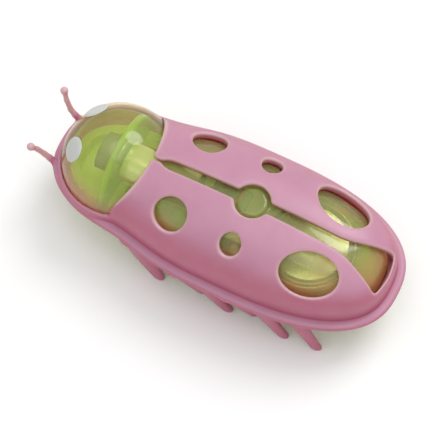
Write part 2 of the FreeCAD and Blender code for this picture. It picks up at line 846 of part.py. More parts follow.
def screw(name, x, y, top):
    """A pan-head screw standing head down, with a plain slot."""
    shank = post(name + "_shank", x, y, "screw_head_z", top, "screw_rad")
    cap = post(name + "_cap", x, y, "screw_head_z", "screw_head_z + screw_head_height", "screw_head_rad")
    slot = box(
        name + "_slot",
        (f"{x} - screw_head_rad", f"{y} - screw_slot / 2", "screw_head_z - fit_gap"),
        (f"{x} + screw_head_rad", f"{y} + screw_slot / 2", "screw_head_z + screw_slot_depth"),
    )
    return cut(name, fuse(name + "_solid", [shank, cap]), [slot])


housing_screws = [
    screw(f"housing_screw_{tag}", f"{side} * housing_screw_x", "housing_screw_y", "housing_screw_top_z")
    for side, tag in ((1, "left"), (-1, "right"))
]
screw_pair = doc.addObject("Part::Compound", "screw_pair")
screw_pair.Links = housing_screws
keep("housing_screws", screw_pair)
keep("battery_door_screw", screw("door_screw", "0", "door_screw_y", "door_screw_top_z"))

# ---------------------------------------------------------------- battery door and cell

door_disc = post("door_disc", 0, "cell_y", "door_low_z", "door_top_z", "door_rad")
door_tab = box(
    "door_tab",
    ("-door_tab_half", "door_tab_y", "door_low_z"),
    ("door_tab_half", "cell_y - cell_rad", "door_tab_top_z"),
)
door_bore = post("door_bore", 0, "door_screw_y", "door_low_z", "boss_top_z", "screw_rad + fit_gap")
screw_room_top = "screw_head_z + screw_head_height + fit_gap / 2"
door_sink = post(
    "door_sink", 0, "door_screw_y", "belly_z", screw_room_top, "counterbore_rad"
)
door_edge = post("door_edge", 0, "cell_y", "door_top_z", "door_tab_top_z + fit_gap", "door_rad")
door_solid = fuse("door_solid", [door_disc, door_tab])
keep("battery_door", cut("door", door_solid, [door_bore, door_sink, door_edge]))

can_top = "cell_low_z + cell_rim_height"
cell_top = "cell_low_z + cell_height"
cell_skin = post("cell_skin", 0, "cell_y", "cell_low_z", can_top, "cell_rad")
cell_room_top = can_top + " + fit_gap"
cell_room = post("cell_room", 0, "cell_y", "cell_low_z + cell_wall", cell_room_top, "cell_rad - cell_wall")
keep("cell_can", cut("cell_cup", cell_skin, [cell_room]))

fill_top = "cell_low_z + cell_rim_height - 2 * cell_wall"
fill = post("fill", 0, "cell_y", "cell_low_z + cell_wall", fill_top, "cell_rad - cell_wall")
keep("cell_filling", fill)

gasket_ring = post("gasket_ring", 0, "cell_y", fill_top, can_top, "cell_rad - cell_wall")
gasket_hole = post("gasket_hole", 0, "cell_y", fill_top + " - fit_gap", can_top + " + fit_gap", "gasket_rad")
keep("cell_gasket", cut("gasket", gasket_ring, [gasket_hole]))

cap_foot = post("cap_foot", 0, "cell_y", fill_top, can_top + " - cell_wall", "gasket_rad")
cap_disc = post("cap_disc", 0, "cell_y", can_top + " - cell_wall", cell_top, "cell_cap_rad")
keep("cell_cap", fuse("cell_cover", [cap_foot, cap_disc]))

# ---------------------------------------------------------------- switch and board

switch_block = box(
    "switch_block",
    ("-switch_half", "switch_front_y", "switch_low_z"),
    ("switch_half", "switch_front_y + switch_length", "switch_top_z"),
)
switch_room = box(
    "switch_room",
    ("-switch_room_half", "switch_room_front_y", "switch_low_z - fit_gap"),
    ("switch_room_half", "switch_room_front_y + switch_room_length", "switch_room_top_z"),
)
keep("switch_case", cut("switch_body", switch_block, [switch_room]))

pins = []
pin_ways = []
for index in range(3):
    y = f"pin_first_y + {index} * pin_pitch"
    pins.append(post(f"pin_{index}", 0, y, "switch_top_z", "pin_top_z", "pin_rad"))
    pin_ways.append(post(f"pin_way_{index}", 0, y, "switch_top_z", "pin_top_z", "pin_rad"))
pin_row = doc.addObject("Part::Compound", "pin_row")
pin_row.Links = pins
keep("switch_pins", pin_row)

knob = box(
    "knob",
    ("-knob_half", "knob_y - knob_length / 2", "knob_low_z"),
    ("knob_half", "knob_y + knob_length / 2", "slide_top_z"),
)
slide = box(
    "slide",
    ("-slide_half", "knob_y - slide_length / 2", "slide_low_z"),
    ("slide_half", "knob_y + slide_length / 2", "slide_top_z"),
)
keep("switch_slider", fuse("slider", [knob, slide]))

board = box(
    "board",
    ("-board_half", "board_front_y", "board_low_z"),
    ("board_half", "board_front_y + board_length", "board_low_z + board_thick"),
)
keep("circuit_board", cut("board_drilled", board, pin_ways))

# ---------------------------------------------------------------- contact leaves

board_top = "board_low_z + board_thick + leaf_lift"
positive_foot = box(
    "positive_foot",
    ("-positive_half", "leaf_board_y", board_top),
    ("positive_half", "positive_y + leaf_thick", board_top + " + leaf_thick"),
)
positive_wall = box(
    "positive_wall",
    ("-positive_half", "positive_y", "positive_low_z"),
    ("positive_half", "positive_y + leaf_thick", board_top + " + leaf_thick"),
)
keep("contact_positive", fuse("positive_leaf", [positive_foot, positive_wall]))

leaf_z = cell_top + " + negative_gap"
negative_parts = [
    box(
        "negative_foot",
        ("negative_x", "leaf_board_y", board_top),
        ("negative_x + negative_wide", "negative_y + leaf_thick", board_top + " + leaf_thick"),
    ),
    box(
        "negative_wall",
        ("negative_x", "negative_y", board_top),
        ("negative_x + negative_wide", "negative_y + leaf_thick", leaf_z + " + leaf_thick"),
    ),
    box(
        "negative_arm",
        ("negative_x", "negative_y", leaf_z),
        ("negative_x + negative_wide", "negative_back_y", leaf_z + " + leaf_thick"),
    ),
]
keep("contact_negative", fuse("negative_leaf", negative_parts))

# ---------------------------------------------------------------- leads


def lead(color, side):
    """A round insulated lead swept along a smooth path from the board to the brush on one side."""
    path = []
    for number in range(1, len(LEADS[color]) + 1):
        path.append(V(*[size(f"{color}_lead_{number}_{axis}") for axis in "xyz"]))
    terminal_x = size("brush_offset") + size("brush_thick") / 2
    path.append(V(side * terminal_x, size("brush_back_y") + size("fit_gap"), size("motor_z")))
    curve = Part.BSplineCurve()
    curve.interpolate(path)
    start = curve.tangent(curve.FirstParameter)[0]
    section = Part.Wire([Part.Circle(path[0], start, size("lead_rad")).toShape()])
    return Part.Wire([curve.toShape()]).makePipeShell([section], True, True)


keep("red_lead", free_shape("lead_red", lead("red", 1)))
keep("black_lead", free_shape("lead_black", lead("black", -1)))

# ---------------------------------------------------------------- checks and export

doc.recompute()
faults = []
for obj in doc.Objects:
    if "Invalid" in obj.State or "Error" in obj.State:
        faults.append(f"{obj.Name}: {obj.State}")
for obj in nodes:
    if obj.Shape.isNull() or not obj.Shape.isValid():
        faults.append(f"{obj.Label}: bad shape")
if faults:
    raise RuntimeError("; ".join(faults))

os.makedirs("parts", exist_ok=True)
for obj in nodes:
    obj.Shape.exportStep(f"parts/{obj.Label}.step")
    print(f"{obj.Label}: {len(obj.Shape.Solids)} solid(s), {obj.Shape.Volume:.2f} mm3")
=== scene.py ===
import math

import bmesh
import bpy
import numpy as np
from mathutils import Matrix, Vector


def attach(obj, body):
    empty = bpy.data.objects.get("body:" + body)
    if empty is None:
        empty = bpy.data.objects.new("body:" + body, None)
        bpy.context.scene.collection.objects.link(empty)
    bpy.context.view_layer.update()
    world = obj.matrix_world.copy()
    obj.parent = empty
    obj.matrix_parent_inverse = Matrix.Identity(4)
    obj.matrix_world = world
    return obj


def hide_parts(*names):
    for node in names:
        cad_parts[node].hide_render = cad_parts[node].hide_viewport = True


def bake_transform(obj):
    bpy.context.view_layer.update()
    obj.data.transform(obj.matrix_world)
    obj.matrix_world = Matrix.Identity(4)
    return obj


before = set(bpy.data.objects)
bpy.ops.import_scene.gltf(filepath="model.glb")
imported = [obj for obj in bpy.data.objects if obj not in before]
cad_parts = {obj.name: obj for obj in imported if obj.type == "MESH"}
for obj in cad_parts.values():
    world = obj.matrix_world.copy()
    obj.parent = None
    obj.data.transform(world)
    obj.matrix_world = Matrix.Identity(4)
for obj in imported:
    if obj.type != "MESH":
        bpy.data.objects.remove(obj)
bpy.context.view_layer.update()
MM = 0.001

# ------------------------------------------------------------------ shape of the bug, in millimetres

# rim outline: a rounded figure with one reach and one squareness in front and another at the tail
CENTER_Y = 4.2
HALF_WIDTH = 10.15
REACH_FRONT, REACH_TAIL = 26.35, 19.8
POWER_FRONT, POWER_TAIL = 2.6, 2.5
WAIST_DEPTH, WAIST_Y, WAIST_LONG, WAIST_FADE = 0.7, -10.0, 5.0, 5.0

# cover: a dome set inwards from the rim, with a bead round its foot
DECK = 7.0
DOME_BASE, DOME_RISE, DOME_INSET = 8.0, 7.8, 1.1
DOME_POWER, TAIL_BULGE, FRONT_SLIM = 2.3, 1.1, 0.1
COVER_WALL = 1.0
BEAD_INSET, BEAD_HALF_WIDE = 1.02, 0.56
BEAD_Z, BEAD_HALF_HIGH, BEAD_ROUND = 7.55, 0.09, 0.45

# head dome and the low collar round its foot
HEAD = np.array([0.0, -13.8, 9.2])
HEAD_SIZE = np.array([7.3, 7.3, 7.2])
HEAD_GAP = 0.04
COLLAR_TOP, COLLAR_GROW, COLLAR_REAR = 9.3, 0.5, -8.0

# slanted front edge of the cover: y = start + slope * level + bow * level^2
EDGE_Z, EDGE_RISE = 8.1, 7.5
EDGE_START, EDGE_SLOPE, EDGE_BOW = -13.2, 3.95, 0.65

# openings in the cover
HOLE_Y, HOLE_RADIUS = 4.35, 2.2
SLIT_END, SLIT_END_BOW = 22.3, 0.06
OPENING_FLOOR, PLUG_DEPTH = 9.6, 2.4

# upper housing: its wall, screw bosses, locator disc and motor rib
SEAM = 7.5
HOUSING_GAP, HOUSING_WALL = 0.08, 0.8
BOSS_X, BOSS_Y, BOSS_RADIUS, BOSS_BORE = 5.4, 4.6, 1.4, 0.6
DISC_RADIUS, DISC_TOP, DISC_FOOT = 1.85, 15.2, 14.2
MOTOR_Z = 10.2
RIB_Y, RIB_HALF, RIB_BORE = -13.2, 0.4, 0.95


def rim(angle):
    """Points of the rubber rim seen from above."""
    across, along = np.cos(angle), np.sin(angle)
    tail = along >= 0
    power = np.where(tail, POWER_TAIL, POWER_FRONT)
    reach = np.where(tail, REACH_TAIL, REACH_FRONT)
    y = CENTER_Y + np.sign(along) * reach * np.abs(along) ** (2 / power)
    half = HALF_WIDTH * np.abs(across) ** (2 / power)
    dip = WAIST_DEPTH * np.exp(-(((y - WAIST_Y) / WAIST_LONG) ** 2))
    half = half - dip * np.minimum(1.0, half / WAIST_FADE)
    return np.sign(across) * half, y


TURN = np.linspace(-math.pi, math.pi, 2881)


def polar(inset):
    """Distance of the rim outline from its centre in every direction, moved inwards by an inset."""
    angle = np.linspace(0, 2 * math.pi, 5760, endpoint=False) + 1e-4
    x, y = rim(angle)
    ahead_x = np.roll(x, -1) - np.roll(x, 1)
    ahead_y = np.roll(y, -1) - np.roll(y, 1)
    length = np.hypot(ahead_x, ahead_y)
    x = x - ahead_y / length * inset
    y = y + ahead_x / length * inset
    direction = np.arctan2(y - CENTER_Y, x)
    order = np.argsort(direction)
    return np.interp(TURN, direction[order], np.hypot(x, y - CENTER_Y)[order], period=2 * math.pi)


RIM_RADIUS = polar(0.0)
DOME_RADIUS = polar(DOME_INSET)
RIM_SLANT = RIM_RADIUS / np.hypot(RIM_RADIUS, np.gradient(RIM_RADIUS, TURN))
DOME_SLANT = DOME_RADIUS / np.hypot(DOME_RADIUS, np.gradient(DOME_RADIUS, TURN))


def smooth_min(a, b, blend):
    """The smaller of two distances, rounded over a width where they meet."""
    share = np.clip(0.5 + 0.5 * (b - a) / blend, 0, 1)
    return b * (1 - share) + a * share - blend * share * (1 - share)


def smooth_max(a, b, blend):
    """The larger of two distances, rounded over a width where they meet."""
    return -smooth_min(-a, -b, blend)


def dome_distance(p):
    """Roughly the distance outside the cover's outer surface, without its openings."""
    x, y, z = p[..., 0], p[..., 1] - CENTER_Y, p[..., 2]
    direction = np.arctan2(y, x)
    radius = np.interp(direction, TURN, DOME_RADIUS)
    slant = np.interp(direction, TURN, DOME_SLANT)
    share = np.maximum(np.hypot(x, y) / radius, 1e-3)
    tail = np.clip(y / REACH_TAIL, 0, 1)
    front = np.clip(-y / REACH_FRONT, 0, 1)
    power = DOME_POWER + TAIL_BULGE * tail**2 - FRONT_SLIM * front**2
    level = np.clip((z - DOME_BASE) / DOME_RISE, 1e-4, None)
    total = share**power + level**power
    value = total ** (1 / power) - 1
    slope = total ** (1 / power - 1) * np.hypot(
        share ** (power - 1) / (radius * slant), level ** (power - 1) / DOME_RISE
    )
    return np.clip(value / np.maximum(slope, 1e-3), -6, 6)


def rim_inset(p):
    """How far a point lies inside the rim outline, seen from above."""
    x, y = p[..., 0], p[..., 1] - CENTER_Y
    direction = np.arctan2(y, x)
    radius = np.interp(direction, TURN, RIM_RADIUS)
    slant = np.interp(direction, TURN, RIM_SLANT)
    return (radius - np.hypot(x, y)) * slant


def head_distance(p, grow=0.0):
    """Roughly the distance outside the head dome and its straight foot."""
    size = HEAD_SIZE + grow
    q = p - HEAD
    q = np.stack([q[..., 0], q[..., 1], np.maximum(q[..., 2], 0)], -1)
    k0 = np.linalg.norm(q / size, axis=-1)
    k1 = np.linalg.norm(q / size**2, axis=-1)
    return k0 * (k0 - 1) / np.maximum(k1, 1e-4)


def segment(p, a, b, radius_a, radius_b):
    """Distance to a tapering rod with round ends."""
    a, b = np.array(a), np.array(b)
    ab = b - a
    along = np.clip(((p - a) @ ab) / (ab @ ab), 0, 1)
    gap = np.linalg.norm(p - a - along[..., None] * ab, axis=-1)
    return gap - radius_a * (1 - along) - radius_b * along


def oval(p, center, long_axis, normal, long, wide, depth):
    """Distance to an elliptic plug that stands along a normal."""
    normal = np.array(normal) / np.linalg.norm(normal)
    long_axis = np.array(long_axis) - (np.array(long_axis) @ normal) * normal
    long_axis /= np.linalg.norm(long_axis)
    wide_axis = np.cross(normal, long_axis)
    q = p - np.array(center)
    u, v, w = q @ long_axis, q @ wide_axis, q @ normal
    k0 = np.hypot(u / long, v / wide)
    k1 = np.hypot(u / long**2, v / wide**2)
    side = k0 * (k0 - 1) / np.maximum(k1, 1e-4)
    return np.maximum(side, np.abs(w) - depth)


def dome_normal(point):
    """Outward direction of the cover at one point."""
    step = 0.05
    p = np.array(point, float)
    slope = [dome_distance(p + step * axis) - dome_distance(p - step * axis) for axis in np.eye(3)]
    return np.array(slope) / np.linalg.norm(slope)


def on_dome(x, y):
    """The point of the cover's outer surface above a point of the plan."""
    z = np.linspace(DOME_BASE, DOME_BASE + DOME_RISE, 400)
    column = np.stack([np.full_like(z, x), np.full_like(z, y), z], -1)
    inside = dome_distance(column) < 0
    return np.array([x, y, z[inside].max()])


# x, y, half length, half width along the curved skin, turn of the long axis towards the back in degrees
SPOTS = (
    (5.45, -4.05, 2.15, 2.1, 0.0),
    (5.85, 4.2, 1.3, 1.45, 0.0),
    (5.1, 14.2, 3.6, 2.7, 12.5),
)
# half width of the slit at places along the back
SLIT_Y = (-12.0, -7.9, -7.3, -6.6, 6.8, 15.6, 17.2, 21.6, 23.0)
SLIT_HALF = (0.12, 0.15, 0.45, 0.65, 0.72, 0.8, 1.1, 2.75, 2.9)
# centre line of the left antenna from its root to its tip, and its radius at each point
ANTENNA = (
    (3.27, -21.1, 7.7),
    (3.3, -22.0, 8.6),
    (3.4, -22.6, 9.4),
    (3.75, -23.25, 10.8),
    (4.28, -23.75, 12.0),
)
ANTENNA_RADIUS = (0.46, 0.4, 0.36, 0.33, 0.31)
KNOB_RADIUS = 0.5


def spot_plugs():
    """Centre, long axis, normal and half sizes of the plug that cuts each spot."""
    plugs = []
    for x, y, long, wide, turn in SPOTS:
        for side in (1, -1):
            center = on_dome(side * x, y)
            lean = math.radians(turn)
            long_axis = (-side * math.sin(lean), math.cos(lean), 0.0)
            plugs.append((center, long_axis, dome_normal(center), long, wide))
    return plugs


PLUGS = spot_plugs()


def openings(p):
    """Distance to the slit, the round hole and the spots."""
    x, y = np.abs(p[..., 0]), p[..., 1]
    slit = x - np.interp(y, SLIT_Y, SLIT_HALF)
    slit = smooth_max(slit, y - SLIT_END + SLIT_END_BOW * x**2, 0.5)
    hole = np.hypot(x, y - HOLE_Y) - HOLE_RADIUS
    found = smooth_min(slit, hole, 0.35)
    found = np.maximum(found, OPENING_FLOOR - p[..., 2])
    for plug in PLUGS:
        found = np.minimum(found, oval(p, *plug, PLUG_DEPTH))
    return found


def front_edge(z):
    """Where the cover's slanted front edge is at a height."""
    level = (z - EDGE_Z) / EDGE_RISE
    return EDGE_START + EDGE_SLOPE * level + EDGE_BOW * level**2


def collar_distance(p):
    """The low collar of the cover round the head's foot."""
    z = p[..., 2]
    flat = np.stack([p[..., 0], p[..., 1], np.minimum(z, HEAD[2])], -1)
    collar = smooth_max(head_distance(flat, COLLAR_GROW), z - COLLAR_TOP, 0.3)
    collar = np.maximum(np.maximum(collar, DECK - z), p[..., 1] - COLLAR_REAR)
    return np.maximum(collar, -(dome_distance(p) + COVER_WALL))


def bead_distance(p):
    """The rounded bead along the rim."""
    across = np.abs(rim_inset(p) - BEAD_INSET) - BEAD_HALF_WIDE
    up = np.abs(p[..., 2] - BEAD_Z) - BEAD_HALF_HIGH
    outside = np.hypot(np.maximum(across, 0), np.maximum(up, 0))
    return outside + np.minimum(np.maximum(across, up), 0) - BEAD_ROUND


def antenna_distance(p):
    """Both antennae with the knobs on their tips."""
    mirror = np.stack([np.abs(p[..., 0]), p[..., 1], p[..., 2]], -1)
    stem = np.full(p.shape[:-1], 9.0)
    for start, end, thick, thin in zip(ANTENNA, ANTENNA[1:], ANTENNA_RADIUS, ANTENNA_RADIUS[1:]):
        stem = smooth_min(stem, segment(mirror, start, end, thick, thin), 0.15)
    knob = np.linalg.norm(mirror - np.array(ANTENNA[-1]), axis=-1) - KNOB_RADIUS
    return smooth_min(stem, knob, 0.25)


def cover_distance(p):
    """The whole rubber cover: skin, collar, bead and antennae."""
    z = p[..., 2]
    skin = np.abs(dome_distance(p) + COVER_WALL / 2) - COVER_WALL / 2
    skin = smooth_max(skin, DECK - z, 0.2)
    skin = smooth_max(skin, np.minimum(0.88 * (front_edge(z) - p[..., 1]), z - COLLAR_TOP), 0.3)
    skin = smooth_max(skin, -openings(p), 0.42)
    skin = smooth_min(skin, collar_distance(p), 0.3)
    head_room = np.where(z > SEAM - 0.1, head_distance(p, HEAD_GAP), 1.0)
    bead = np.maximum(bead_distance(p), -head_room)
    skin = np.maximum(skin, -head_room)
    return smooth_min(smooth_min(skin, bead, 0.22), antenna_distance(p), 0.45)


def housing_solid(p):
    """The outside of the upper housing as if it were solid."""
    body = dome_distance(p) + COVER_WALL + HOUSING_GAP
    return smooth_min(body, head_distance(p, -0.02), 0.25)


def housing_distance(p):
    """The upper housing: a thin shell with two screw bosses and the locator disc."""
    x, y, z = p[..., 0], p[..., 1], p[..., 2]
    solid = housing_solid(p)
    shell = smooth_max(solid, -(solid + HOUSING_WALL), 0.12)
    boss = np.hypot(np.abs(x) - BOSS_X, y - BOSS_Y)
    boss = np.maximum(np.maximum(boss - BOSS_RADIUS, BOSS_BORE - boss), solid + HOUSING_WALL / 2)
    shell = smooth_min(shell, boss, 0.25)
    disc = smooth_max(np.hypot(x, y - HOLE_Y) - DISC_RADIUS, z - DISC_TOP, 0.25)
    shell = smooth_min(shell, np.maximum(disc, DISC_FOOT - z), 0.2)
    return smooth_max(shell, SEAM - z, 0.12)


def rib_distance(p):
    """The motor rib that stands across the head, just inside the housing."""
    x, y, z = p[..., 0], p[..., 1], p[..., 2]
    rib = smooth_max(np.abs(y - RIB_Y) - RIB_HALF, housing_solid(p) + HOUSING_WALL - 0.02, 0.15)
    rib = smooth_max(rib, RIB_BORE - np.hypot(x, z - MOTOR_Z), 0.15)
    return smooth_max(rib, SEAM - z, 0.12)


# ------------------------------------------------------------------ meshes


def surface_points(distance, low, high, step):
    """Vertices and four-sided faces of the surface where a distance is zero, by surface nets."""
    axes = [np.arange(a, b + step, step) for a, b in zip(low, high)]
    grid = np.stack(np.meshgrid(*axes, indexing="ij"), -1)
    value = np.concatenate([distance(part) for part in np.array_split(grid, 24)])
    cells = tuple(n - 1 for n in value.shape)
    total = np.zeros(cells + (3,))
    count = np.zeros(cells)
    faces = []
    crossings = []
    for axis in range(3):
        first = [slice(None)] * 3
        second = [slice(None)] * 3
        first[axis] = slice(None, -1)
        second[axis] = slice(1, None)
        a, b = value[tuple(first)], value[tuple(second)]
        crossed = (a < 0) != (b < 0)
        where = np.argwhere(crossed)
        va, vb = a[crossed], b[crossed]
        point = grid[tuple(where.T)].copy()
        point[:, axis] += step * va / (va - vb)
        crossings.append((axis, where, va < 0, point))
        others = [k for k in range(3) if k != axis]
        for du in (0, 1):
            for dv in (0, 1):
                cell = where.copy()
                cell[:, others[0]] -= du
                cell[:, others[1]] -= dv
                good = ((cell >= 0) & (cell < np.array(cells))).all(1)
                at = tuple(cell[good].T)
                np.add.at(total, at, point[good])
                np.add.at(count, at, 1)
    index = -np.ones(cells, int)
    used = count > 0
    index[used] = np.arange(used.sum())
    vertices = total[used] / count[used][:, None]
    for axis, where, inward, point in crossings:
        u, v = [k for k in range(3) if k != axis]
        loop = []
        for du, dv in ((0, 0), (1, 0), (1, 1), (0, 1)):
            cell = where.copy()
            cell[:, u] -= du
            cell[:, v] -= dv
            cell = np.clip(cell, 0, np.array(cells) - 1)
            loop.append(index[tuple(cell.T)])
        quad = np.stack(loop, 1)
        flip = inward if axis != 1 else ~inward
        quad[flip] = quad[flip][:, ::-1]
        faces.append(quad[(quad >= 0).all(1)])
    faces = np.concatenate(faces)[:, ::-1]
    nudges = 0.02 * np.eye(3)
    for _ in range(4):
        here = distance(vertices)
        slope = np.stack([(distance(vertices + e) - distance(vertices - e)) / 0.04 for e in nudges], -1)
        size = np.maximum((slope**2).sum(1), 0.2)
        move = slope * (here / size)[:, None]
        vertices -= np.clip(move, -0.4 * step, 0.4 * step)
    return vertices, faces


def mesh_object(name, vertices, faces):
    """An object from points in millimetres."""
    mesh = bpy.data.meshes.new(name)
    points = [tuple(float(c) * MM for c in v) for v in vertices]
    mesh.from_pydata(points, [], [tuple(int(i) for i in f) for f in faces])
    mesh.validate()
    obj = bpy.data.objects.new(name, mesh)
    bpy.context.scene.collection.objects.link(obj)
    mesh.polygons.foreach_set("use_smooth", [True] * len(mesh.polygons))
    return obj


def net_object(name, distance, low, high, step):
    """An object for the surface where a distance is zero, inside a box in millimetres."""
    return mesh_object(name, *surface_points(distance, low, high, step))


def rounded(profile, radius, steps=5):
    """A closed profile with its corners rounded."""
    points = [np.array(p, float) for p in profile]
    out = []
    for previous, corner, following in zip(points[-1:] + points[:-1], points, points[1:] + points[:1]):
        back, ahead = previous - corner, following - corner
        cut = min(radius, 0.45 * np.linalg.norm(back), 0.45 * np.linalg.norm(ahead))
        start = corner + back / np.linalg.norm(back) * cut
        end = corner + ahead / np.linalg.norm(ahead) * cut
        for t in np.linspace(0, 1, steps):
            out.append((1 - t) ** 2 * start + 2 * t * (1 - t) * corner + t**2 * end)
    return out


def turned(name, profile, origin, axis="z", radius=0.1, sides=72):
    """A body turned round an axis from a closed profile of (radius, height) pairs."""
    points = rounded(profile, radius)
    count = len(points)
    vertices = []
    for k in range(sides):
        angle = 2 * math.pi * k / sides
        for r, h in points:
            u, v = r * math.cos(angle), r * math.sin(angle)
            local = (u, v, h) if axis == "z" else (u, h, v)
            vertices.append(tuple(o + c for o, c in zip(origin, local)))
    faces = []
    for k in range(sides):
        for i in range(count):
            j = (i + 1) % count
            m = (k + 1) % sides
            quad = (k * count + i, m * count + i, m * count + j, k * count + j)
            faces.append(quad if axis == "z" else quad[::-1])
    obj = mesh_object(name, vertices, faces)
    tidy_normals(obj)
    return obj


def tidy_normals(obj):
    """Merges doubled points and turns every face outwards."""
    work = bmesh.new()
    work.from_mesh(obj.data)
    bmesh.ops.remove_doubles(work, verts=work.verts, dist=2e-7)
    bmesh.ops.recalc_face_normals(work, faces=work.faces)
    work.to_mesh(obj.data)
    work.free()
    obj.data.polygons.foreach_set("use_smooth", [True] * len(obj.data.polygons))


def sharpen(obj, angle=35):
    """Smooth shading that keeps the edges sharper than an angle."""
    with bpy.context.temp_override(object=obj, active_object=obj, selected_objects=[obj]):
        bpy.ops.object.shade_auto_smooth(angle=math.radians(angle))


# ------------------------------------------------------------------ materials


PLASTIC_IOR = 1.49
# paler rubber at the edges of the openings: partly painted light through the thin rubber, partly wear
LIP_LIGHT_AND_WEAR_COLOR = (0.86, 0.66, 0.62)
# painted shade: the dark pink where the cover meets the rim bead
CREASE_SHADE_COLOR = (0.50, 0.09, 0.19)
# painted light: tints for the pink rubber's light seen through the clear plastic near its foot
PINK_LIGHT_TINTS = ((0.97, 0.80, 0.66), (0.93, 0.72, 0.52))


def shader(name):
    """An empty node material: itself, its tree, its output and the coordinates of the piece."""
    material = bpy.data.materials.new(name)
    material.use_nodes = True
    tree = material.node_tree
    tree.nodes.clear()
    out = tree.nodes.new("ShaderNodeOutputMaterial")
    place = tree.nodes.new("ShaderNodeTexCoord")
    return material, tree, out, place.outputs["Object"]


def feed(tree, value, socket):
    """Sets an input to a plain number, or links it to another node's output."""
    if isinstance(value, (int, float)):
        socket.default_value = value
    else:
        tree.links.new(value, socket)


def noise(tree, place, scale, detail=4.0):
    node = tree.nodes.new("ShaderNodeTexNoise")
    node.inputs["Scale"].default_value = scale
    node.inputs["Detail"].default_value = detail
    node.inputs["Roughness"].default_value = 0.55
    tree.links.new(place, node.inputs["Vector"])
    return node.outputs["Fac"]


def map_range(tree, value, span, result, eased=False):
    """A value moved from one span of numbers to another, and held at its ends."""
    node = tree.nodes.new("ShaderNodeMapRange")
    if eased:
        node.interpolation_type = "SMOOTHSTEP"
    for name, number in zip(("From Min", "From Max", "To Min", "To Max"), (*span, *result)):
        node.inputs[name].default_value = number
    tree.links.new(value, node.inputs["Value"])
    return node.outputs["Result"]


def stretch(tree, value, low, high):
    """A noise value spread over a span."""
    return map_range(tree, value, (0.3, 0.7), (low, high))


def arithmetic(tree, operation, first, second):
    node = tree.nodes.new("ShaderNodeMath")
    node.operation = operation
    feed(tree, first, node.inputs[0])
    feed(tree, second, node.inputs[1])
    return node.outputs["Value"]


def mix_shaders(tree, share, first, second):
    node = tree.nodes.new("ShaderNodeMixShader")
    feed(tree, share, node.inputs["Fac"])
    tree.links.new(first, node.inputs[1])
    tree.links.new(second, node.inputs[2])
    return node.outputs["Shader"]


def translucent(tree, color):
    """Light that passes into the far side of a surface."""
    node = tree.nodes.new("ShaderNodeBsdfTranslucent")
    tree.links.new(color, node.inputs["Color"])
    return node.outputs["BSDF"]


def two_tone(tree, value, first, second):
    """Two colours mottled by a noise value."""
    node = tree.nodes.new("ShaderNodeMix")
    node.data_type = "RGBA"
    node.inputs["A"].default_value = (*first, 1)
    node.inputs["B"].default_value = (*second, 1)
    tree.links.new(stretch(tree, value, 0, 1), node.inputs["Factor"])
    return node.outputs["Result"]


def bump(tree, value, strength, depth):
    node = tree.nodes.new("ShaderNodeBump")
    node.inputs["Strength"].default_value = strength
    node.inputs["Distance"].default_value = depth
    tree.links.new(value, node.inputs["Height"])
    return node.outputs["Normal"]


def blend_colors(tree, share, first, second):
    node = tree.nodes.new("ShaderNodeMix")
    node.data_type = "RGBA"
    tree.links.new(share, node.inputs["Factor"])
    tree.links.new(first, node.inputs["A"])
    tree.links.new(second, node.inputs["B"])
    return node.outputs["Result"]


def facing_up(tree):
    """1 where a surface faces up and 0 on its flanks; the rubber's painted sheen on its top follows it."""
    side = tree.nodes.new("ShaderNodeNewGeometry")
    apart = tree.nodes.new("ShaderNodeSeparateXYZ")
    tree.links.new(side.outputs["Normal"], apart.inputs["Vector"])
    return map_range(tree, apart.outputs["Z"], (0.4, 0.92), (0, 1), eased=True)


def attribute_mix(tree, color, name, target):
    """The colour moved towards a target where a named share of the mesh is high."""
    share = tree.nodes.new("ShaderNodeAttribute")
    share.attribute_name = name
    node = tree.nodes.new("ShaderNodeMix")
    node.data_type = "RGBA"
    node.inputs["B"].default_value = (*target, 1)
    tree.links.new(share.outputs["Fac"], node.inputs["Factor"])
    tree.links.new(color, node.inputs["A"])
    return node.outputs["Result"]


def solid(
    name, first, second, rough, grain, metal=0.0, depth=0.00001, strength=0.3, coat=0.0, soft=0.0, top_sheen=None
):
    """An opaque material with mottled colour, uneven roughness and a fine grain; given two sheen colours it
    also gets painted light and shade: a paler painted sheen on upward faces, paler edges that are partly
    painted light, and a darker painted shade above the rim bead.
    """
    material, tree, out, place = shader(name)
    surface = tree.nodes.new("ShaderNodeBsdfPrincipled")
    surface.inputs["Metallic"].default_value = metal
    surface.inputs["Coat Weight"].default_value = coat
    surface.inputs["Coat Roughness"].default_value = 0.2
    color = two_tone(tree, noise(tree, place, grain * 0.12), first, second)
    # painted light: faces turned up are painted a paler pink, a painted sheen of the light from above
    if top_sheen:
        pale = two_tone(tree, noise(tree, place, grain * 0.1), *top_sheen)
        color = blend_colors(tree, facing_up(tree), color, pale)
        # paler edges: partly painted light through the thin rubber, partly wear
        color = attribute_mix(tree, color, "lip_light_and_wear", LIP_LIGHT_AND_WEAR_COLOR)
        # painted shade: darker pink where the cover meets the rim bead
        color = attribute_mix(tree, color, "crease_shade", CREASE_SHADE_COLOR)
    tree.links.new(color, surface.inputs["Base Color"])
    tree.links.new(stretch(tree, noise(tree, place, grain * 0.35), *rough), surface.inputs["Roughness"])
    tree.links.new(bump(tree, noise(tree, place, grain), strength, depth), surface.inputs["Normal"])
    result = surface.outputs["BSDF"]
    if soft:
        result = mix_shaders(tree, soft, result, translucent(tree, color))
    tree.links.new(result, out.inputs["Surface"])
    return material


def low_share(tree, place, span):
    """1 near the foot of a piece and 0 above, with a wavy border."""
    apart = tree.nodes.new("ShaderNodeSeparateXYZ")
    tree.links.new(place, apart.inputs["Vector"])
    wave = stretch(tree, noise(tree, place, 190, 2.0), -0.0009, 0.0009)
    height = arithmetic(tree, "ADD", apart.outputs["Z"], wave)
    return map_range(tree, height, span, (1, 0), eased=True)


